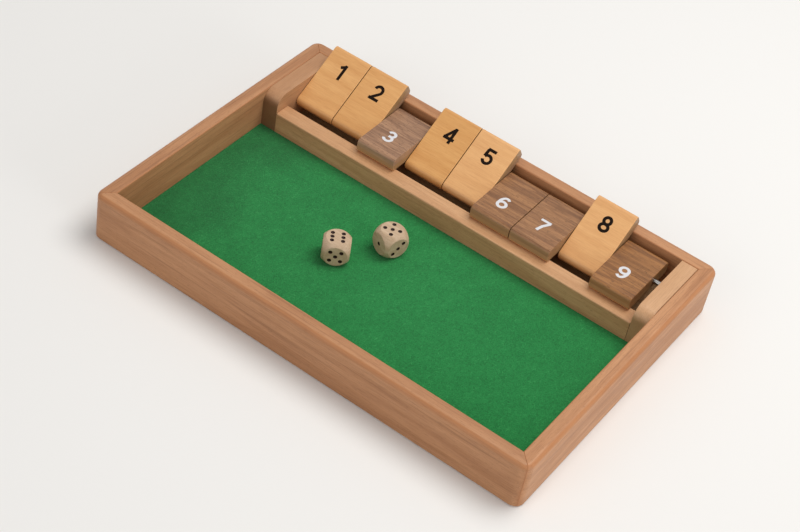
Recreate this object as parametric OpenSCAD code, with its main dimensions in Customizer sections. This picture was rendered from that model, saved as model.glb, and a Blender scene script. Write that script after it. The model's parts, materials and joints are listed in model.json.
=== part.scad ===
// Shut the box dice game: a felt-lined wooden tray with nine two-tone number
// tiles that flip over a steel rod, and two wooden dice.
// Millimetres, +X along the tray, +Y towards the tiles, +Z up. The origin is the
// middle of the tray's footprint, on the table.

/* [Tray] */
// Height of the tray's walls
frame_h = 31.5; // [26:0.5:45]
// Thickness of the tray's walls
wall_t = 9.3; // [8:0.1:14]
// Radius of the tray's four upright outer corners
corner_r = 6; // [3.5:0.5:7.5]
// Rounding of the walls' outer top edge
rim_round = 3; // [0.5:0.25:3.25]
// Easing of the walls' inner top edge
rim_ease = 0.8; // [0.3:0.1:2]
// Rounding of the walls' outer bottom edge
foot_round = 1.2; // [0.3:0.1:2]
// Depth of the dice well, from the front wall to the tile rail
well_d = 129.3; // [90:1:200]

/* [Floor] */
// Thickness of the plywood base board
base_t = 3; // [2:0.5:6]
// Height of the base board's underside above the table
base_lift = 2.4; // [2:0.2:5]
// Depth of the groove in the walls that holds the base board
groove_d = 4; // [2:0.5:6]
// Clearance of the base board in its groove, on each side
groove_gap = 0.15; // [0.05:0.05:0.3]
// Thickness of the felt lining
felt_t = 1; // [0.5:0.25:2]
// Gap between the felt's cut edge and the wood around it
felt_gap = 0.2; // [0.1:0.1:1]

/* [Tiles] */
// Number of tiles in the row
tile_count = 9; // [9, 10, 12]
// Width of one tile along the rod
tile_w = 26.8; // [16:0.2:32]
// Thickness of a tile, both layers together
tile_t = 9; // [8:0.5:12]
// Thickness of the pale layer
pale_t = 4.5; // [4:0.25:5]
// Length of a tile from the rod to its tail, the short end
tile_tail = 16.5; // [13:0.5:20]
// Rounding of the tail's edges
tail_round = 3.4; // [0.5:0.1:3.8]
// Rounding of the edges at the nose, the long end that is flipped
nose_round = 2.4; // [0.5:0.1:3.8]
// Side play between neighbouring tiles
tile_gap = 0.4; // [0.2:0.1:1]
// Free length of rod left at the right end of the row
row_play = 5.6; // [1:0.2:12]
// How far a tile that is shut lies over the rail
rail_bearing = 4.2; // [2:0.2:7]
// Clearance between the rail and the swinging tail
front_clear = 6; // [2:0.5:12]
// Clearance between the back wall and the swinging tail
back_clear = 2.5; // [1:0.5:8]
// Clearance between the base board and the swinging tail
floor_clear = 2; // [1:0.5:6]
// Gap at rest between a tile and the wood that it leans or lies on
rest_gap = 0.1; // [0.05:0.05:0.3]

/* [Rod, rail and blocks] */
// Diameter of the steel rod
rod_d = 3; // [2:0.5:4]
// Depth of the rod's blind hole in each end block
rod_seat = 6; // [3:0.5:8]
// Radial clearance of the tiles on the rod
bore_gap = 0.05; // [0.02:0.01:0.1]
// Radial clearance of the rod in the blocks
seat_gap = 0.01; // [0.01:0.01:0.02]
// Thickness of the rail in front of the tiles
rail_t = 11; // [7:0.5:16]
// Easing of the rail's top edges
rail_ease = 0.8; // [0.3:0.1:2]
// Width of each end block
block_w = 10.5; // [9:0.5:16]
// How far the end blocks stay below the walls' top
block_drop = 0.3; // [0:0.1:1]
// Rounding of the end blocks' top front edge
block_round = 8; // [2:0.5:12]

/* [Dice] */
// Size of a die across its flats
die_s = 16; // [12:0.5:20]
// Diameter of the ball that rounds a die's corners, over its size
die_ball = 1.3; // [1.2:0.02:1.5]
// Diameter of a pip
pip_d = 2.2; // [1.4:0.1:3]
// Depth of a pip
pip_depth = 0.5; // [0.2:0.1:1]
// Distance of the outer pips from the middle of a face
pip_pitch = 3.1; // [2.6:0.1:3.6]
// First die, from the well's left wall and front wall
die_1_place = [104, 67];
// Turn of the first die
die_1_turn = 33; // [-45:1:45]
// Second die, from the well's left wall and front wall
die_2_place = [122.5, 94];
// Turn of the second die
die_2_turn = -22; // [-45:1:45]

/* [Hidden] */
$fn = 64;
far = 400;         // longer than any piece, for cutting away
bite = 1;          // how far a cutter reaches past the surface that it cuts
post_sweep = 110;  // degrees of a corner post: a quarter turn and a lap into its bar
beech = "#d2a06c";
maple = "#dfae74";
walnut = "#7a5a41";

// Heights
base_top = base_lift + base_t;
felt_top = base_top + felt_t;
tail_swing = ceil(norm([tile_tail, tile_t / 2]) * 10) / 10; // rounded up to a tenth
rod_z = base_top + floor_clear + tail_swing;
rail_top = rod_z - tile_t / 2 - rest_gap;

// Along the tray
channel_l = tile_count * (tile_w + tile_gap) + row_play;
inner_l = channel_l + 2 * block_w;
frame_l = inner_l + 2 * wall_t;
left_end = -channel_l / 2;      // inner face of the left block
row_start = left_end + tile_gap / 2;

// Across the tray
rod_to_rail = tail_swing + front_clear;
rod_to_back = tail_swing + back_clear;
channel_d = rail_t + rod_to_rail + rod_to_back;
inner_d = well_d + channel_d;
frame_d = inner_d + 2 * wall_t;
front_in = -inner_d / 2;        // inner face of the front wall
back_in = inner_d / 2;          // inner face of the back wall
rail_y = front_in + well_d;     // front face of the rail
rod_y = back_in - rod_to_back;

// Tiles
tile_nose = rod_to_rail + rail_bearing;
dark_t = tile_t - pale_t;
bore_r = rod_d / 2 + bore_gap;
// A tile that is up leans on the eased inner top edge of the back wall. The
// ease is an arc, so the lean is where the tile's back is tangent to it.
ease_y = rod_to_back + rim_ease;
ease_z = frame_h - rim_ease - rod_z;
lean = atan2(ease_z, ease_y)
     + asin((tile_t / 2 + rim_ease + rest_gap) / norm([ease_y, ease_z]));
shut_turn = 180;                // a tile that is shut lies flat, dark side up
UP = [1, 2, 4, 5, 8];           // tiles still up; the others are shut

// Dice
pip_r = pip_d / 2;
pip_ball = (pip_r * pip_r + pip_depth * pip_depth) / (2 * pip_depth);
die_z = felt_top + rest_gap + die_s / 2;

// ---- Shapes that several pieces share ----

// What a rounding of radius r takes off the corner at the origin
module corner_waste(r) {
    difference() {
        translate([-bite, -bite]) square(r + bite);
        translate([r, r]) circle(r);
    }
}

// Rectangle with its own radius at each corner: bottom left, bottom right,
// top right, top left
module soft_rect(w, h, bl = 0, br = 0, tr = 0, tl = 0) {
    difference() {
        square([w, h]);
        if (bl > 0) corner_waste(bl);
        if (br > 0) translate([w, 0]) mirror([1, 0]) corner_waste(br);
        if (tr > 0) translate([w, h]) rotate(180) corner_waste(tr);
        if (tl > 0) translate([0, h]) mirror([0, 1]) corner_waste(tl);
    }
}

// Pushes a drawing of the YZ plane along +X
module along_x(l) {
    rotate([90, 0, 90]) linear_extrude(l) children();
}

// ---- Tray ----

// A wall as it leaves the saw, outer face on Y = 0 and ends on X = +-l/2: a
// moulded bar with a rounded post at each end, mitred and grooved
module wall(l) {
    difference() {
        intersection() {
            union() {
                translate([-l / 2 + corner_r, 0, 0]) along_x(l - 2 * corner_r)
                    soft_rect(wall_t, frame_h, bl = foot_round, tr = rim_ease, tl = rim_round);
                for (side = [0, 1]) mirror([side, 0, 0])
                    translate([-l / 2 + corner_r, corner_r, 0]) rotate(180)
                        rotate_extrude(angle = post_sweep)
                            soft_rect(corner_r, frame_h, br = foot_round, tr = rim_round);
            }
            linear_extrude(frame_h)
                polygon([[-l / 2, 0], [l / 2, 0],
                         [l / 2 - wall_t, wall_t], [-l / 2 + wall_t, wall_t]]);
        }
        translate([-l / 2 + wall_t - groove_d, wall_t - groove_d, base_lift - groove_gap])
            cube([l - 2 * (wall_t - groove_d), groove_d + bite, base_t + 2 * groove_gap]);
    }
}

module front_wall() { color(beech) translate([0, -frame_d / 2, 0]) wall(frame_l); }
module back_wall() { color(beech) rotate(180) translate([0, -frame_d / 2, 0]) wall(frame_l); }
module left_wall() { color(beech) rotate(-90) translate([0, -frame_l / 2, 0]) wall(frame_d); }
module right_wall() { color(beech) rotate(90) translate([0, -frame_l / 2, 0]) wall(frame_d); }

// Plywood floor, held in the walls' groove all round
module base_board() {
    reach = groove_d - groove_gap;
    color("burlywood")
        translate([-inner_l / 2 - reach, front_in - reach, base_lift])
            cube([inner_l + 2 * reach, inner_d + 2 * reach, base_t]);
}

// Felt glued on the base board inside the dice well
module felt() {
    color("seagreen")
        translate([-inner_l / 2 + felt_gap, front_in + felt_gap, base_top])
            cube([inner_l - 2 * felt_gap, well_d - 2 * felt_gap, felt_t]);
}

// ---- What carries the tiles ----

// Rail that shut tiles lie on, glued to the base board between the end blocks
module tile_rail() {
    color(beech)
        translate([left_end, rail_y, base_top]) along_x(channel_l)
            soft_rect(rail_t, rail_top - base_top, tr = rail_ease, tl = rail_ease);
}

// End block with a blind hole for the rod in its inner face. It is drawn as the
// left one, with its inner face on X = 0
module end_block() {
    color(maple) difference() {
        translate([-block_w, rail_y, base_top]) along_x(block_w)
            soft_rect(channel_d, frame_h - block_drop - base_top, tl = block_round);
        translate([-rod_seat, rod_y, rod_z]) rotate([0, 90, 0])
            cylinder(r = rod_d / 2 + seat_gap, h = rod_seat + bite);
    }
}

module left_block() { translate([left_end, 0, 0]) end_block(); }
module right_block() { mirror([1, 0, 0]) left_block(); }

// Steel rod, seated in both blocks
module rod() {
    color("silver")
        translate([left_end - rod_seat, rod_y, rod_z]) rotate([0, 90, 0])
            cylinder(d = rod_d, h = channel_l + 2 * rod_seat);
}

// ---- Tiles ----

// Side view of a tile on the rod's axis, nose towards +Y and pale face up
module tile_profile() {
    translate([-tile_tail, pale_t - tile_t])
        soft_rect(tile_tail + tile_nose, tile_t,
                  bl = tail_round, tl = tail_round, br = nose_round, tr = nose_round);
}

// One layer of a tile, from height low to height high, half of the bore in it
module tile_layer(low, high) {
    along_x(tile_w) difference() {
        intersection() {
            tile_profile();
            translate([-far / 2, low]) square([far, high - low]);
        }
        circle(bore_r);
    }
}

// Puts a layer where its tile stands in the row, up or shut
module in_row(n) {
    up = len(search(n, UP)) > 0;
    translate([row_start + (n - 1) * (tile_w + tile_gap), rod_y, rod_z])
        rotate([up ? lean : shut_turn, 0, 0]) children();
}

module tile_pale(n) { color(maple) in_row(n) tile_layer(0, pale_t); }
module tile_dark(n) { color(walnut) in_row(n) tile_layer(-dark_t, 0); }

// ---- Dice ----

// Places of a face's pips, in steps of pip_pitch
function pips(n) = [
    if (n % 2 == 1) [0, 0],
    if (n > 1) each [[-1, 1], [1, -1]],
    if (n > 3) each [[1, 1], [-1, -1]],
    if (n == 6) each [[-1, 0], [1, 0]]];

// Hollows of one face, cut into the top of a die whose middle is the origin
module pip_face(n) {
    for (p = pips(n))
        translate([p.x * pip_pitch, p.y * pip_pitch, die_s / 2 + pip_ball - pip_depth])
            sphere(pip_ball);
}

// A cube rounded by a ball. Each of its numbers is given; opposite sides make 7
module die(top, front, right) {
    color("wheat") difference() {
        intersection() {
            cube(die_s, center = true);
            sphere(d = die_s * die_ball);
        }
        pip_face(top);
        rotate([180, 0, 0]) pip_face(7 - top);
        rotate([90, 0, 0]) pip_face(front);
        rotate([-90, 0, 0]) pip_face(7 - front);
        rotate([0, 90, 0]) pip_face(right);
        rotate([0, -90, 0]) pip_face(7 - right);
    }
}

module on_felt(place, turn) {
    translate([place.x - inner_l / 2, place.y + front_in, die_z]) rotate(turn) children();
}

module die_1() { on_felt(die_1_place, die_1_turn) die(6, 5, 3); }
module die_2() { on_felt(die_2_place, die_2_turn) die(5, 1, 3); }

front_wall();
back_wall();
left_wall();
right_wall();
base_board();
felt();
tile_rail();
left_block();
right_block();
rod();
for (n = [1:tile_count]) {
    tile_pale(n);
    tile_dark(n);
}
die_1();
die_2();
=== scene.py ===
"""A shut the box dice game in wood, with nine flip tiles and two dice.

The tray is put together from its floor upwards: base board, felt, four walls,
rail, end blocks, rod, tiles, numerals and dice. Lengths are in metres.
"""

import json
import math

import bmesh
import bpy
from mathutils import Matrix, Vector, noise


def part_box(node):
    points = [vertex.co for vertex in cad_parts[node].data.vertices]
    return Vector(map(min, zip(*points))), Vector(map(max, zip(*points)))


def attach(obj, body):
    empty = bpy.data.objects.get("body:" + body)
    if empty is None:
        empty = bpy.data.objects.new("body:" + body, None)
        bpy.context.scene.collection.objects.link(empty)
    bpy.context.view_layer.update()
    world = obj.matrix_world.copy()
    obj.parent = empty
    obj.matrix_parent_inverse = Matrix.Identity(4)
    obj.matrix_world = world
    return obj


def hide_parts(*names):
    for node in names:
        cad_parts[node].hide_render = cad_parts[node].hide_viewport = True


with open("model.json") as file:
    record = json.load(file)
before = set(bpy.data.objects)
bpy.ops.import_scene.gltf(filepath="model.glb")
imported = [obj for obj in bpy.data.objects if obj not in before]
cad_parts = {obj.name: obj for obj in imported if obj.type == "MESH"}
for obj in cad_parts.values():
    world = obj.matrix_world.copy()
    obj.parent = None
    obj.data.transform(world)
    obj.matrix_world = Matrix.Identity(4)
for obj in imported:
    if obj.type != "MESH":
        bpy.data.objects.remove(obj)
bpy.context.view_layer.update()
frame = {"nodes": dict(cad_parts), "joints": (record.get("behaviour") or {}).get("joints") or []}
nodes = frame["nodes"]
MM = 0.001


# ---------------------------------------------------------------- camera
# The tray is seen from its front right and from above, with the camera turned
# on its own axis so that the long walls run down to the right.

VIEW_TURN = math.radians(28)      # to the right of straight on
VIEW_HEIGHT = math.radians(43)    # above the table
VIEW_ROLL = math.radians(11.5)
VIEW_DISTANCE = 1.05
VIEW_AIM = Vector((0.001, -0.007, 0.010))
VIEW_LENS = 84

sight = Vector((
    -math.sin(VIEW_TURN) * math.cos(VIEW_HEIGHT),
    math.cos(VIEW_TURN) * math.cos(VIEW_HEIGHT),
    -math.sin(VIEW_HEIGHT),
))
level_right = sight.cross(Vector((0, 0, 1))).normalized()
level_up = level_right.cross(sight)
camera_right = level_right * math.cos(VIEW_ROLL) + level_up * math.sin(VIEW_ROLL)
camera_up = level_up * math.cos(VIEW_ROLL) - level_right * math.sin(VIEW_ROLL)

camera = bpy.data.objects.new("camera", bpy.data.cameras.new("camera"))
camera.matrix_world = Matrix.Translation(VIEW_AIM - sight * VIEW_DISTANCE) @ Matrix(
    (camera_right, camera_up, -sight)
).transposed().to_4x4()
camera.data.sensor_width = 36
camera.data.lens = VIEW_LENS
bpy.context.scene.collection.objects.link(camera)
bpy.context.scene.camera = camera


# ---------------------------------------------------------------- studio
# A pale table top under a large soft lamp that hangs over the tray, with weaker
# ones in front and at the right. The table fades out into a pale surrounding.

ROOM_LIGHT = 0.42                 # how strongly the surroundings light the tray
ROOM_SEEN = 0.94                  # how bright they look, also as a reflection
TABLE_CLEAR = 0.8                 # distance at which the table starts to fade
TABLE_RADIUS = 1.9


def new_material(name):
    """A new material, with the functions that add and link its nodes and its shader.

    A setting of an added node is the value of its socket of that name, or else a
    property of the node.
    """
    material = bpy.data.materials.new(name)
    material.use_nodes = True
    tree = material.node_tree
    shader = tree.nodes["Principled BSDF"]

    def add(kind, **settings):
        node = tree.nodes.new("ShaderNode" + kind)
        for key, value in settings.items():
            if key in node.inputs:
                node.inputs[key].default_value = value
            else:
                setattr(node, key, value)
        return node

    return material, add, tree.links.new, shader


def srgb(red, green, blue):
    """Linear colour of a 0 to 255 screen colour."""
    def linear(level):
        level /= 255
        return level / 12.92 if level <= 0.04045 else ((level + 0.055) / 1.055) ** 2.4
    return (linear(red), linear(green), linear(blue), 1)


def soft_lamp(name, place, size, power, warmth):
    """A round lamp that looks at the middle of the tray."""
    data = bpy.data.lights.new(name, "AREA")
    data.shape = "DISK"
    data.size = size
    data.energy = power
    data.color = warmth
    lamp = bpy.data.objects.new(name, data)
    lamp.location = place
    lamp.rotation_euler = (-Vector(place)).to_track_quat("-Z", "Y").to_euler()
    bpy.context.scene.collection.objects.link(lamp)


soft_lamp("key_lamp", (0.33, 0.42, 1.35), 1.0, 14, (1.0, 0.98, 0.95))
soft_lamp("fill_lamp", (-0.3, -1.7, 0.8), 1.4, 6.3, (1.0, 0.98, 0.96))
soft_lamp("side_lamp", (2.72, -0.32, 0.56), 1.44, 19, (0.97, 0.98, 1.0))

world = bpy.data.worlds.new("studio")
world.use_nodes = True
background = world.node_tree.nodes["Background"]
background.inputs["Color"].default_value = (1, 1, 1, 1)
rays = world.node_tree.nodes.new("ShaderNodeLightPath")
seen = world.node_tree.nodes.new("ShaderNodeMath")
seen.operation = "MAXIMUM"
strength = world.node_tree.nodes.new("ShaderNodeMapRange")
strength.inputs["To Min"].default_value = ROOM_LIGHT
strength.inputs["To Max"].default_value = ROOM_SEEN
world.node_tree.links.new(rays.outputs["Is Camera Ray"], seen.inputs[0])
world.node_tree.links.new(rays.outputs["Is Glossy Ray"], seen.inputs[1])
world.node_tree.links.new(seen.outputs[0], strength.inputs["Value"])
world.node_tree.links.new(strength.outputs["Result"], background.inputs["Strength"])
bpy.context.scene.world = world

table_mesh = bmesh.new()
bmesh.ops.create_circle(table_mesh, cap_ends=True, segments=96, radius=TABLE_RADIUS)
table_data = bpy.data.meshes.new("table_top")
table_mesh.to_mesh(table_data)
table_mesh.free()
table_top = bpy.data.objects.new("table_top", table_data)
bpy.context.scene.collection.objects.link(table_top)
table_paint, add, link, shader = new_material("table_paint")
shader.inputs["Base Color"].default_value = srgb(236, 235, 233)
shader.inputs["Roughness"].default_value = 0.8
shader.inputs["Specular IOR Level"].default_value = 0
table_data.materials.append(table_paint)
spot = add("TexCoord")
reach = add("VectorMath", operation="LENGTH")
edge = add("MapRange", interpolation_type="SMOOTHSTEP")
edge.inputs["From Min"].default_value = TABLE_CLEAR
edge.inputs["From Max"].default_value = TABLE_RADIUS
clear = add("BsdfTransparent")
faded = add("MixShader")
link(spot.outputs["Object"], reach.inputs[0])
link(reach.outputs["Value"], edge.inputs["Value"])
link(edge.outputs["Result"], faded.inputs["Fac"])
link(shader.outputs[0], faded.inputs[1])
link(clear.outputs[0], faded.inputs[2])
link(faded.outputs[0], table_paint.node_tree.nodes["Material Output"].inputs["Surface"])


# ---------------------------------------------------------------- base board
# A 3 mm plywood panel that closes the tray. It is pushed into the walls'
# groove before the last wall is glued on, and shows bare from below.

PATTERN_STEP = (0.7, 0.9, 1.1)    # how far one step of tone moves the grain
FIBRE_RELIEF = 0.06 * MM
BOARD_EASE = 0.15 * MM


def timber(
    name, pale, dark, fleck, along="X", figure=1.0, banding=1.0, lines=0.0,
    flecks=0.0, end_grain_and_shading_colour=None, end_grain_and_shading_share=0.5, gloss=0.42, spread=0.0,
):
    """Planed and lacquered wood whose grain runs along one axis.

    Broad bands of figure, long thin growth lines, fine fibres and short flecks
    are laid over each other. figure is the scale of the pattern, and banding,
    lines and flecks say how strongly each of them shows.

    The piece's own "tone" value moves the pattern and goes from deep, at 0, to
    pale and greyer, at 1, so that two pieces from one plank aren't alike; spread
    says how much greyer. Where the piece's "cut" value is 1, the wood takes on
    the end colour, as strongly as the end share says: the colour of end grain,
    which on some pieces also stands for painted shade and painted light.
    """
    material, add, link, shader = new_material(name)
    place = add("TexCoord")
    tone = add("Attribute", attribute_name="tone")
    moved = add("VectorMath", operation="MULTIPLY_ADD")
    moved.inputs[1].default_value = PATTERN_STEP
    link(tone.outputs["Fac"], moved.inputs[0])
    link(place.outputs["Object"], moved.inputs[2])

    def stretched(length, width, **settings):
        """Noise drawn out along the grain; length and width are in millimetres."""
        lengthwise, across = 1 / (length * MM), 1 / (width * MM)
        scale = {
            "X": (lengthwise, across, across),
            "Y": (across, lengthwise, across),
        }[along]
        mapping = add("Mapping", Scale=scale)
        link(moved.outputs[0], mapping.inputs["Vector"])
        texture = add("TexNoise", Scale=1.0, **settings)
        link(mapping.outputs[0], texture.inputs["Vector"])
        return texture.outputs["Fac"]

    def mixed(blend, share, under, over):
        """One colour laid over another; each may be a value or another node's output."""
        mix = add("Mix", data_type="RGBA", blend_type=blend)
        sockets = (mix.inputs[0], mix.inputs[6], mix.inputs[7])
        for socket, value in zip(sockets, (share, under, over)):
            if isinstance(value, bpy.types.NodeSocket):
                link(value, socket)
            else:
                socket.default_value = value
        return mix.outputs[2]

    def ramp(value, low, high, low_level=0.0, high_level=1.0):
        """A soft step from low_level to high_level while value goes from low to high."""
        band = add("MapRange", interpolation_type="SMOOTHSTEP")
        band.inputs["From Min"].default_value = low
        band.inputs["From Max"].default_value = high
        band.inputs["To Min"].default_value = low_level
        band.inputs["To Max"].default_value = high_level
        link(value, band.inputs["Value"])
        return band.outputs["Result"]

    bands = stretched(85 * figure, 7 * figure, Detail=3.0, Distortion=0.7)
    streaks = stretched(30 * figure, 1.6 * figure, Detail=4.0, Roughness=0.6)
    fibres = stretched(9, 0.35, Detail=2.0)
    colour = mixed("MIX", ramp(bands, 0.34, 0.68, 0, banding), pale, dark)
    colour = mixed("MIX", ramp(streaks, 0.45, 0.75, 0, 0.55 * banding), colour, dark)
    colour = mixed("MULTIPLY", ramp(fibres, 0.4, 0.75, 0, 0.22), colour, fleck)
    if lines:
        rings = stretched(70 * figure, 0.9 * figure, Detail=2.0, Distortion=0.35)
        colour = mixed("MIX", ramp(rings, 0.56, 0.66, 0, lines), colour, fleck)
    if flecks:
        dashes = stretched(2.6, 0.42, Detail=1.0)
        colour = mixed("MIX", ramp(dashes, 0.63, 0.70, 0, flecks), colour, fleck)
    cut = add("Attribute", attribute_name="cut")
    across = ramp(cut.outputs["Fac"], 0.3, 0.95, 0, end_grain_and_shading_share)
    colour = mixed("MIX", across, colour, end_grain_and_shading_colour or fleck)
    turned = add("HueSaturation", Hue=0.5)
    link(ramp(tone.outputs["Fac"], 0, 1, 0.92, 1.08), turned.inputs["Value"])
    link(ramp(tone.outputs["Fac"], 0, 1, 1 + spread, 1 - spread), turned.inputs["Saturation"])
    link(colour, turned.inputs["Color"])
    link(turned.outputs[0], shader.inputs["Base Color"])
    link(ramp(streaks, 0.3, 0.7, gloss - 0.04, gloss + 0.08), shader.inputs["Roughness"])
    shader.inputs["Specular IOR Level"].default_value = 0.35
    relief = add("Bump", Strength=0.35, Distance=FIBRE_RELIEF)
    link(fibres, relief.inputs["Height"])
    link(relief.outputs[0], shader.inputs["Normal"])
    return material


def finish_piece(
    name, body, replaced, material, form,
    tone=0.5, cut=lambda normal: 0.0, smooth=28,
):
    """Turns a bmesh into a finished piece that rides on its body.

    cut(normal) says how far a surface that looks that way has the colour of end
    grain, which on some pieces also stands for painted shade and painted light, and
    smooth is the angle in degrees from which an edge is shaded sharp.
    """
    mesh = bpy.data.meshes.new(name)
    form.to_mesh(mesh)
    form.free()
    mesh.polygons.foreach_set("use_smooth", [True] * len(mesh.polygons))
    mesh.set_sharp_from_angle(angle=math.radians(smooth))
    mesh.attributes.new("tone", "FLOAT", "POINT").data.foreach_set(
        "value", [tone] * len(mesh.vertices)
    )
    mesh.attributes.new("cut", "FLOAT", "CORNER").data.foreach_set(
        "value", [cut(corner.vector) for corner in mesh.corner_normals]
    )
    mesh.materials.append(material)
    piece = bpy.data.objects.new(name, mesh)
    bpy.context.scene.collection.objects.link(piece)
    level = piece.modifiers.new("level_shading", "WEIGHTED_NORMAL")
    level.keep_sharp = True
    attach(piece, body)
    if replaced:
        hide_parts(*replaced)
    return piece


MERGE_REACH = 0.005 * MM          # corners nearer than this are one corner
FLAT_ANGLE = math.radians(0.5)    # faces that differ by less are one face
CRISP_ANGLE = math.radians(40)    # edges sharper than this are broken


def machined(node, ease, glued=lambda point: False):
    """A node's cut form with its sharp edges broken by sandpaper.

    glued(point) is true where an edge lies in a glue joint and stays sharp.
    """
    form = bmesh.new()
    form.from_mesh(nodes[node].data)
    bmesh.ops.remove_doubles(form, verts=form.verts, dist=MERGE_REACH)
    bmesh.ops.dissolve_limit(form, angle_limit=FLAT_ANGLE, verts=form.verts, edges=form.edges)
    crisp = [
        edge for edge in form.edges
        if len(edge.link_faces) == 2
        and edge.calc_face_angle() > CRISP_ANGLE
        and not (glued(edge.verts[0].co) and glued(edge.verts[1].co))
    ]
    bmesh.ops.bevel(
        form, geom=crisp, offset=ease, offset_type="OFFSET", segments=3,
        profile=0.5, affect="EDGES", clamp_overlap=True, material=-1,
    )
    return form


plywood = timber(
    "plywood", srgb(206, 172, 128), srgb(176, 138, 96), srgb(140, 100, 66),
    along="X", figure=1.6, flecks=0.15, gloss=0.6,
)
finish_piece(
    "base_board_panel", "tray", ["base_board"], plywood,
    machined("base_board", BOARD_EASE), tone=0.3,
)


# ---------------------------------------------------------------- felt
# A sheet of green felt, 1 mm thick, glued to the base board inside the dice
# well and cut just short of the wood all round. Its pile is short and matted.

FELT_CELL = 2.2 * MM              # size of one face of the sheet
FELT_SINK = 0.10 * MM             # how deep the pile is pressed in places
PRESS_SCALE = 160                 # pressed places per metre
SHADE_DARKEST_X = -0.09                  # from here to the left the felt has its darkest painted shade
SHADE_GONE_X = -0.01                 # from here to the right it has no painted shade
SHADE_EDGE_DRIFT = 0.11                  # how far that border wanders
SHADE_LEVEL, UNSHADED_LEVEL = 0.7, 1.03  # how bright it is in the painted shade and outside it
NAP_HEIGHT = 0.22 * MM

felt_low, felt_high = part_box("felt")
felt_size = felt_high - felt_low
felt_form = bmesh.new()
bmesh.ops.create_cube(
    felt_form, size=1,
    matrix=Matrix.Translation((felt_low + felt_high) / 2) @ Matrix.Diagonal((*felt_size, 1)),
)
for axis in (0, 1):
    for cut in range(1, round(felt_size[axis] / FELT_CELL)):
        spot = felt_low.copy()
        spot[axis] += cut * FELT_CELL
        normal = Vector((0, 0, 0))
        normal[axis] = 1
        bmesh.ops.bisect_plane(
            felt_form, geom=felt_form.verts[:] + felt_form.edges[:] + felt_form.faces[:],
            plane_co=spot, plane_no=normal,
        )
for vert in felt_form.verts:
    if vert.co.z > felt_high.z - FELT_SINK:
        press = 0.5 + 0.5 * noise.noise(vert.co * PRESS_SCALE)
        vert.co.z -= FELT_SINK * min(max(press, 0), 1)

green_felt, add, link, shader = new_material("green_felt")
felt_place = add("TexCoord")


def felt_fibres(turn, length, width):
    """Matted fibres that all lie at one angle, with their size in millimetres."""
    mapping = add(
        "Mapping", vector_type="TEXTURE", Rotation=(0, 0, math.radians(turn)),
        Scale=(length * MM, width * MM, width * MM),
    )
    fibre = add("TexNoise", Scale=1.0, Detail=2.0, Roughness=0.6, Distortion=0.6)
    link(felt_place.outputs["Object"], mapping.inputs["Vector"])
    link(mapping.outputs[0], fibre.inputs["Vector"])
    return fibre.outputs["Fac"]


def laid_over(under, over):
    """Two layers of fibres, of which the higher one shows."""
    higher = add("Math", operation="MAXIMUM")
    link(under, higher.inputs[0])
    link(over, higher.inputs[1])
    return higher.outputs[0]


fibres = laid_over(felt_fibres(20, 2.4, 0.45), felt_fibres(-48, 2.0, 0.4))
fibres = laid_over(fibres, felt_fibres(81, 2.2, 0.5))
clouds = add("TexNoise", Scale=90.0, Detail=6.0, Roughness=0.75)
matted = add("Mix", data_type="FLOAT")
matted.inputs[0].default_value = 0.2
link(felt_place.outputs["Object"], clouds.inputs["Vector"])
link(fibres, matted.inputs[2])
link(clouds.outputs["Fac"], matted.inputs[3])
felt_ramp = add("ValToRGB")
felt_ramp.color_ramp.elements[0].position = 0.42
felt_ramp.color_ramp.elements[0].color = srgb(22, 98, 48)
felt_ramp.color_ramp.elements[1].position = 0.86
felt_ramp.color_ramp.elements[1].color = srgb(86, 172, 106)
felt_body = felt_ramp.color_ramp.elements.new(0.62)
felt_body.color = srgb(36, 132, 67)
link(matted.outputs[0], felt_ramp.inputs["Fac"])
# The felt darkens towards its left end, with a wandering border: painted shade, a soft shadow.
lengthwise = add("SeparateXYZ")
drift = add("TexNoise", Scale=26.0, Detail=3.0)
wander = add("Math", operation="MULTIPLY_ADD")
wander.inputs[1].default_value = SHADE_EDGE_DRIFT
painted_shade_ramp = add("MapRange", interpolation_type="SMOOTHSTEP")
painted_shade_ramp.inputs["From Min"].default_value = SHADE_DARKEST_X
painted_shade_ramp.inputs["From Max"].default_value = SHADE_GONE_X
painted_shade_ramp.inputs["To Min"].default_value = SHADE_LEVEL
painted_shade_ramp.inputs["To Max"].default_value = UNSHADED_LEVEL
shaded_felt = add("HueSaturation", Hue=0.5, Saturation=1.0)
link(felt_place.outputs["Object"], lengthwise.inputs[0])
link(felt_place.outputs["Object"], drift.inputs["Vector"])
link(drift.outputs["Fac"], wander.inputs[0])
link(lengthwise.outputs["X"], wander.inputs[2])
link(wander.outputs[0], painted_shade_ramp.inputs["Value"])
link(painted_shade_ramp.outputs[0], shaded_felt.inputs["Value"])
link(felt_ramp.outputs[0], shaded_felt.inputs["Color"])
link(shaded_felt.outputs[0], shader.inputs["Base Color"])
shader.inputs["Roughness"].default_value = 0.95
shader.inputs["Specular IOR Level"].default_value = 0.1
shader.inputs["Sheen Weight"].default_value = 0.25
shader.inputs["Sheen Roughness"].default_value = 0.5
nap = add("Bump", Strength=0.9, Distance=NAP_HEIGHT)
link(fibres, nap.inputs["Height"])
link(nap.outputs[0], shader.inputs["Normal"])

felt_sheet = finish_piece("felt_sheet", "tray", ["felt"], green_felt, felt_form)


# ---------------------------------------------------------------- walls
# Four planed beech bars, mitred and glued round the base board. Corners and
# outer top edges are rounded after gluing, and all of it is sanded.

WALL_EASE = 0.25 * MM
GLUE_REACH = 0.02 * MM            # points nearer than this to a glue joint lie in it

half_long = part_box("front_wall")[1].x
half_deep = -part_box("front_wall")[0].y


def in_mitre(point):
    """Whether a point lies in one of the four mitre joints."""
    return abs((half_long - abs(point.x)) - (half_deep - abs(point.y))) < GLUE_REACH
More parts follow.
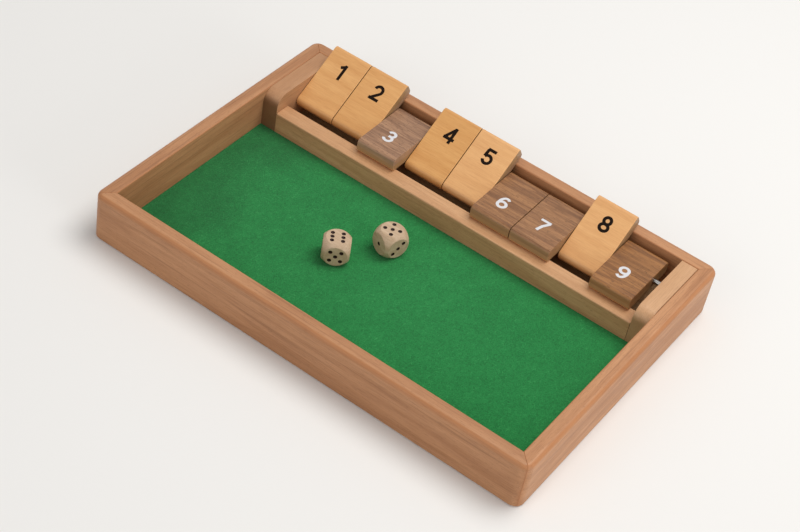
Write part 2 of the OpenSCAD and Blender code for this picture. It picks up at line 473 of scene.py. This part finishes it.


# A bar's ends have the colour of end grain. Its rounded top edges take that darker
# colour too, as painted shade where the round turns away from the light.
# The bars' tones vary their grain, and also make the right bar paler and the left bar darker, as
# painted light and shade on their faces.
for wall, along, tone in (
    ("front_wall", "X", 0.35), ("back_wall", "X", 0.6),
    ("left_wall", "Y", 0.3), ("right_wall", "Y", 0.75),
):
    beech = timber(
        wall + "_beech", srgb(192, 140, 99), srgb(172, 120, 81), srgb(124, 82, 54),
        along=along, figure=1.3, banding=0.9, lines=0.32, flecks=0.3,
        end_grain_and_shading_colour=srgb(170, 110, 66), end_grain_and_shading_share=0.6, gloss=0.45,
    )
    finish_piece(
        wall + "_bar", "tray", [wall], beech,
        machined(wall, WALL_EASE, in_mitre), tone=tone,
        cut=lambda normal, axis="XY".index(along): max(
            abs(normal[axis]), 2 * max(normal.z, 0) * normal.xy.length
        ),
    )


# ---------------------------------------------------------------- rail and end blocks
# The rail that shut tiles lie on stands on the base board between two end
# blocks. The blocks carry the rod, and their front top edge is well rounded.

RAIL_EASE = 0.3 * MM
BLOCK_EASE = 0.5 * MM

# The rail's ends take a near-black colour: end grain, with painted shade in the seams against
# the end blocks.
rail_beech = timber(
    "rail_beech", srgb(204, 159, 117), srgb(186, 139, 98), srgb(136, 92, 59),
    along="X", figure=1.2, banding=0.8, lines=0.2, flecks=0.35,
    end_grain_and_shading_colour=srgb(62, 40, 26), end_grain_and_shading_share=0.95, gloss=0.45,
)
finish_piece(
    "rail_bar", "tray", ["tile_rail"], rail_beech,
    machined("tile_rail", RAIL_EASE), tone=0.65, cut=lambda normal: abs(normal.x),
)

# The fourth value is how dark a block's front is with the colour of end grain, which
# there also stands for painted shade: most on the left block, whose front lies deeper
# in shade. outer is the side of its joint with the wall, where the rounded top edge
# gets painted shade in the crease between block and wall.
for block, outer, tone, front_grain_and_shade, pale, dark in (
    ("left_block", -1, 0.0, 1.0, srgb(194, 147, 108), srgb(180, 130, 90)),
    ("right_block", 1, 0.6, 0.55, srgb(206, 162, 122), srgb(190, 144, 102)),
):
    block_maple = timber(
        block + "_maple", pale, dark, srgb(146, 104, 70),
        along="Y", figure=1.1, banding=0.6, flecks=0.12,
        end_grain_and_shading_colour=srgb(116, 80, 54), end_grain_and_shading_share=0.75, gloss=0.42,
    )
    finish_piece(
        block + "_wood", "tray", [block], block_maple,
        machined(block, BLOCK_EASE), tone=tone,
        cut=lambda normal, outer=outer, front_grain_and_shade=front_grain_and_shade: max(
            front_grain_and_shade * abs(normal.y) ** 3, 2 * max(normal.z, 0) * max(outer * normal.x, 0)
        ),
    )


# ---------------------------------------------------------------- rod
# A bright drawn steel rod, 3 mm thick, pushed into a blind hole of each end
# block. It shows in the play that is left beside the last tile.

ROD_EASE = 0.3 * MM

rod_steel, add, link, shader = new_material("rod_steel")
shader.inputs["Base Color"].default_value = srgb(146, 144, 140)
shader.inputs["Metallic"].default_value = 1
drawn = add("TexNoise", Scale=1.0, Detail=3.0)
drawn_map = add("Mapping", Scale=(40, 9000, 9000))
drawn_place = add("TexCoord")
drawn_gloss = add("MapRange")
drawn_gloss.inputs["To Min"].default_value = 0.14
drawn_gloss.inputs["To Max"].default_value = 0.26
link(drawn_place.outputs["Object"], drawn_map.inputs["Vector"])
link(drawn_map.outputs[0], drawn.inputs["Vector"])
link(drawn.outputs["Fac"], drawn_gloss.inputs["Value"])
link(drawn_gloss.outputs[0], shader.inputs["Roughness"])
finish_piece(
    "rod_bar", "tray", ["rod"], rod_steel, machined("rod", ROD_EASE),
)


# ---------------------------------------------------------------- tiles
# Nine flip tiles, each a pale and a dark layer glued face to face and drilled
# for the rod along the joint. Their ends are rounded and their sides sanded.

TILE_COUNT = 9
TILE_HALF = 4.5 * MM              # thickness of one layer
TILE_EASE = 0.45 * MM
# Each tile's own tone, from tile 1 to tile 9.
PALE_TONES = (0.4, 0.35, 0.6, 0.15, 0.65, 0.45, 0.65, 0.6, 0.35)
DARK_TONES = (0.4, 0.65, 0.9, 0.3, 0.55, 0.4, 0.45, 0.35, 0.05)
TAIL_START = -0.2                 # a surface that looks this far back is the tail's

rod_axis = Vector(next(
    joint["pos_m"] for joint in frame["joints"] if joint["child"] == "tile_1"
))

# The pale wood's dark end colour, with its large share, is end grain and painted shade on the
# tiles' noses.
tile_beech = timber(
    "tile_beech", srgb(226, 173, 114), srgb(214, 158, 100), srgb(176, 118, 70),
    along="X", figure=1.0, banding=0.8, flecks=0.16,
    end_grain_and_shading_colour=srgb(152, 122, 86), end_grain_and_shading_share=0.85, gloss=0.38, spread=0.05,
)
# The dark wood's end colour is lighter than its faces: end grain, and painted light on the
# tails.
tile_walnut = timber(
    "tile_walnut", srgb(170, 124, 86), srgb(120, 81, 54), srgb(68, 43, 28),
    along="X", figure=0.4, banding=0.8, lines=0.5, flecks=0.65,
    end_grain_and_shading_colour=srgb(172, 138, 104), end_grain_and_shading_share=0.55, gloss=0.42, spread=0.12,
)


def pale_side(number):
    """The direction that the pale face of a tile looks to, square to the face."""
    pale = nodes[f"tile_{number}_pale"].data
    face = max(pale.polygons, key=lambda polygon: polygon.area)
    square = face.normal.copy()
    square.x = 0
    square.normalize()
    if (face.center - rod_axis).dot(square) < TILE_HALF / 2:
        square.negate()
    return square


def nose_way(number):
    """The direction from the rod to a tile's nose, the end that is flipped."""
    square = pale_side(number)
    return Vector((0, square.z, -square.y))


def in_glue(number):
    """A test for points in the glue joint between a tile's two layers."""
    square = pale_side(number)
    return lambda point: abs((point - rod_axis).dot(square)) < GLUE_REACH


# A layer's nose and sides have the colour of end grain, which is darker than the
# pale face and lighter than the dark one; on the pale layer's nose it is also painted
# shade. The pale layer's tail has little of it, and the dark layer's tail all of it,
# as painted light on the tails.
for number in range(1, TILE_COUNT + 1):
    pale, dark = f"tile_{number}_pale", f"tile_{number}_dark"
    for node, material, tail_grain_and_light, tones in (
        (pale, tile_beech, 0.15, PALE_TONES), (dark, tile_walnut, 1, DARK_TONES),
    ):
        finish_piece(
            node + "_layer", f"tile_{number}", [node],
            material,
            machined(node, TILE_EASE, in_glue(number)), tone=tones[number - 1],
            cut=lambda normal, square=pale_side(number), nose=nose_way(number), lit_tail=tail_grain_and_light: (
                1 - abs(normal.dot(square))
            ) * (1 if normal.dot(nose) > TAIL_START else lit_tail),
        )


# ---------------------------------------------------------------- numerals
# Each tile's number is printed on both of its faces: black on the pale face,
# upright when the tile is up, and white on the dark face, upright when shut.

NUMERAL_HEIGHT = 10.8 * MM
NUMERAL_PAINT = 0.03 * MM         # how thick the paint stands on the wood
BLACK_STROKE = 0.182              # width of a stroke, as a share of the height
WHITE_STROKE = 0.17
STROKE_MERGE = 1e-5               # points nearer than this share of the height are one
PALE_PLACE = 13.3 * MM            # middle of the numeral, from the rod
DARK_PLACE = 11.6 * MM
DARK_ASIDE = 1.4 * MM             # how far the white one is off the tile's middle

black_paint, _, _, shader = new_material("black_paint")
shader.inputs["Base Color"].default_value = srgb(26, 17, 11)
shader.inputs["Roughness"].default_value = 0.6
shader.inputs["Specular IOR Level"].default_value = 0.06
white_paint, _, _, shader = new_material("white_paint")
shader.inputs["Base Color"].default_value = srgb(214, 214, 218)
shader.inputs["Roughness"].default_value = 0.6
shader.inputs["Specular IOR Level"].default_value = 0.2


def bow(middle_x, middle_y, half_width, half_height, start, end):
    """Points along an elliptical arc, from one angle in degrees to another."""
    steps = math.ceil(abs(end - start) / 10)
    angles = [math.radians(start + (end - start) * step / steps) for step in range(steps + 1)]
    return [
        (middle_x + half_width * math.cos(angle), middle_y + half_height * math.sin(angle))
        for angle in angles
    ]


# Strokes run along the middle of the line, in shares of the numeral's height.
# X is 0 at its middle and Y is 0 at its foot.
six = [
    bow(0, 0.325, 0.24, 0.235, 0, 360),
    bow(0.02, 0.45, 0.26, 0.46, 185, 50),
]
STROKES = {
    1: [[(0.07, 0), (0.07, 1)], [(0.06, 0.89), (-0.2, 0.73)]],
    2: [bow(0, 0.665, 0.235, 0.245, 172, -35) + [(-0.17, 0.13)], [(-0.32, 0.09), (0.32, 0.09)]],
    3: [
        bow(0, 0.7, 0.21, 0.21, 160, -80),
        bow(0, 0.305, 0.24, 0.215, 80, -165),
        [(-0.09, 0.505), (0.05, 0.505)],
    ],
    4: [[(0.12, 0.94), (-0.25, 0.3)], [(-0.34, 0.28), (0.34, 0.28)], [(0.13, 0), (0.13, 1)]],
    5: [
        [(-0.25, 0.91), (0.28, 0.91)],
        [(-0.19, 0.9), (-0.23, 0.46)],
        bow(0, 0.335, 0.24, 0.245, 150, -165),
    ],
    6: six,
    7: [[(-0.31, 0.91), (0.31, 0.91)], [(0.26, 0.88), (0.02, 0.45), (-0.09, 0)]],
    8: [bow(0, 0.705, 0.2, 0.205, 0, 360), bow(0, 0.295, 0.24, 0.205, 0, 360)],
    9: [[(-x, 1 - y) for x, y in stroke] for stroke in six],
}


def numeral(number, width):
    """A bold figure lying face up, its middle on the origin and its top to +Y.

    Its strokes are flattened tubes, each a hair higher than the one before.
    """
    curve = bpy.data.curves.new("numeral", "CURVE")
    curve.dimensions = "3D"
    curve.bevel_depth = width / 2
    curve.bevel_resolution = 4
    curve.use_fill_caps = True
    for layer, stroke in enumerate(STROKES[number]):
        spline = curve.splines.new("POLY")
        spline.use_cyclic_u = math.dist(stroke[0], stroke[-1]) < STROKE_MERGE
        line = stroke[:-1] if spline.use_cyclic_u else stroke
        spline.points.add(len(line) - 1)
        for point, (x, y) in zip(spline.points, line):
            point.co = (x, y - 0.5, layer * width / 16, 1)
    sketch = bpy.data.objects.new("numeral", curve)
    bpy.context.scene.collection.objects.link(sketch)
    bpy.context.view_layer.update()
    mesh = bpy.data.meshes.new_from_object(sketch)
    bpy.data.objects.remove(sketch)
    form = bmesh.new()
    form.from_mesh(mesh)
    bpy.data.meshes.remove(mesh)
    bmesh.ops.remove_doubles(form, verts=form.verts, dist=STROKE_MERGE)
    bmesh.ops.recalc_face_normals(form, faces=form.faces)
    bmesh.ops.scale(
        form, verts=form.verts,
        vec=(NUMERAL_HEIGHT, NUMERAL_HEIGHT, NUMERAL_PAINT / (width / 2)),
    )
    return form


def face_place(number, side, place):
    """Where a numeral lies: side is 1 on the pale face and -1 on the dark one."""
    low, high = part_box(f"tile_{number}_pale")
    outward = pale_side(number) * side
    upward = nose_way(number) * side
    middle = Vector(((low.x + high.x) / 2, rod_axis.y, rod_axis.z))
    middle += upward * side * place + outward * TILE_HALF
    if side < 0:
        middle.x -= DARK_ASIDE
    turn = Matrix((upward.cross(outward), upward, outward)).transposed().to_4x4()
    return Matrix.Translation(middle) @ turn


for number in range(1, TILE_COUNT + 1):
    for side, place, width, paint, slot, label in (
        (1, PALE_PLACE, BLACK_STROKE, black_paint, "tile_beech", "black"),
        (-1, DARK_PLACE, WHITE_STROKE, white_paint, "tile_walnut", "white"),
    ):
        figure = numeral(number, width)
        bmesh.ops.transform(figure, matrix=face_place(number, side, place), verts=figure.verts)
        finish_piece(f"numeral_{number}_{label}", f"tile_{number}", [], paint, figure)


# ---------------------------------------------------------------- dice
# Two small dice of pale wood, tumbled to a ball at the corners. Each pip is a
# shallow drilled hollow with a drop of dark paint in it.

DIE_SIZE = 16 * MM
DIE_EASE = 0.12 * MM
PIP_RADIUS = 1.1 * MM             # of the hollow's rim
PIP_DEPTH = 0.5 * MM
PIP_PITCH = 3.1 * MM              # from a face's middle to the next row of pips
PAINT_DROP = 0.03 * MM            # how thick the paint lies in a hollow
PAINT_BITE = 0.006 * MM           # how deep it has soaked into the wood
PAINT_LIP = 0.1 * MM              # how far it laps over the hollow's rim
BOWL_STEPS = 6

die_wood = timber(
    "die_wood", srgb(202, 176, 148), srgb(186, 158, 128), srgb(154, 124, 94),
    along="X", figure=0.5, flecks=0.12, gloss=0.4,
)
pip_paint, _, _, shader = new_material("pip_paint")
shader.inputs["Base Color"].default_value = srgb(38, 19, 13)
shader.inputs["Roughness"].default_value = 0.45
shader.inputs["Specular IOR Level"].default_value = 0.15

PIPS = {
    1: [(0, 0)],
    2: [(-1, 1), (1, -1)],
    3: [(0, 0), (-1, 1), (1, -1)],
    4: [(-1, 1), (1, -1), (1, 1), (-1, -1)],
    5: [(0, 0), (-1, 1), (1, -1), (1, 1), (-1, -1)],
    6: [(-1, 1), (1, -1), (1, 1), (-1, -1), (-1, 0), (1, 0)],
}
pip_ball = (PIP_RADIUS ** 2 + PIP_DEPTH ** 2) / (2 * PIP_DEPTH)   # the hollow's radius


def bowl(radius, sink, rim):
    """Points down a bowl's section, from its middle to where it is rim high."""
    steep = math.acos((sink - rim) / radius)
    turns = [steep * step / BOWL_STEPS for step in range(BOWL_STEPS + 1)]
    return [(radius * math.sin(turn), sink - radius * math.cos(turn)) for turn in turns]


def paint_drop():
    """The paint of one pip, closed all round: a thin bowl whose lip laps over the rim."""
    sink = pip_ball - PIP_DEPTH       # the hollow's centre above the face
    section = bowl(pip_ball - PAINT_DROP, sink, PAINT_DROP)
    section += [(PIP_RADIUS + PAINT_LIP, PAINT_DROP * 0.7), (PIP_RADIUS + PAINT_LIP * 1.3, 0)]
    section += reversed(bowl(pip_ball + PAINT_BITE, sink, 0))
    form = bmesh.new()
    line = [form.verts.new((reach, 0, rise)) for reach, rise in section]
    edges = [form.edges.new(pair) for pair in zip(line, line[1:])]
    bmesh.ops.spin(
        form, geom=line + edges, cent=(0, 0, 0), axis=(0, 0, 1),
        angle=math.tau, steps=24, use_merge=True, use_duplicate=False,
    )
    bmesh.ops.remove_doubles(form, verts=form.verts, dist=0.001 * MM)
    bmesh.ops.recalc_face_normals(form, faces=form.faces)
    mesh = bpy.data.meshes.new("paint_drop")
    form.to_mesh(mesh)
    form.free()
    return mesh


drop = paint_drop()


def paint_pips(form, number, to_face):
    """Puts a drop of paint in each hollow of one face of a die."""
    for step_x, step_y in PIPS[number]:
        before = len(form.verts)
        form.from_mesh(drop)
        form.verts.ensure_lookup_table()
        place = Matrix.Translation((step_x * PIP_PITCH, step_y * PIP_PITCH, DIE_SIZE / 2))
        bmesh.ops.transform(form, matrix=to_face @ place, verts=form.verts[before:])


# Each die's turn on the felt in degrees, and the numbers on three of its faces.
for die, turn, top, front, right in (("die_1", 33, 6, 5, 3), ("die_2", -22, 5, 1, 3)):
    low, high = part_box(die)
    middle = (low + high) / 2
    stand = Matrix.Translation(middle) @ Matrix.Rotation(math.radians(turn), 4, "Z")
    finish_piece(
        die + "_wood", die, [die], die_wood, machined(die, DIE_EASE), tone=0.5,
    )
    drops = bmesh.new()
    for number, axis, angle in (
        (top, "X", 0), (7 - top, "X", 180), (front, "X", 90),
        (7 - front, "X", -90), (right, "Y", 90), (7 - right, "Y", -90),
    ):
        paint_pips(drops, number, stand @ Matrix.Rotation(math.radians(angle), 4, axis))
    finish_piece(die + "_pips", die, [], pip_paint, drops)


bpy.context.scene.view_settings.view_transform = "Standard"
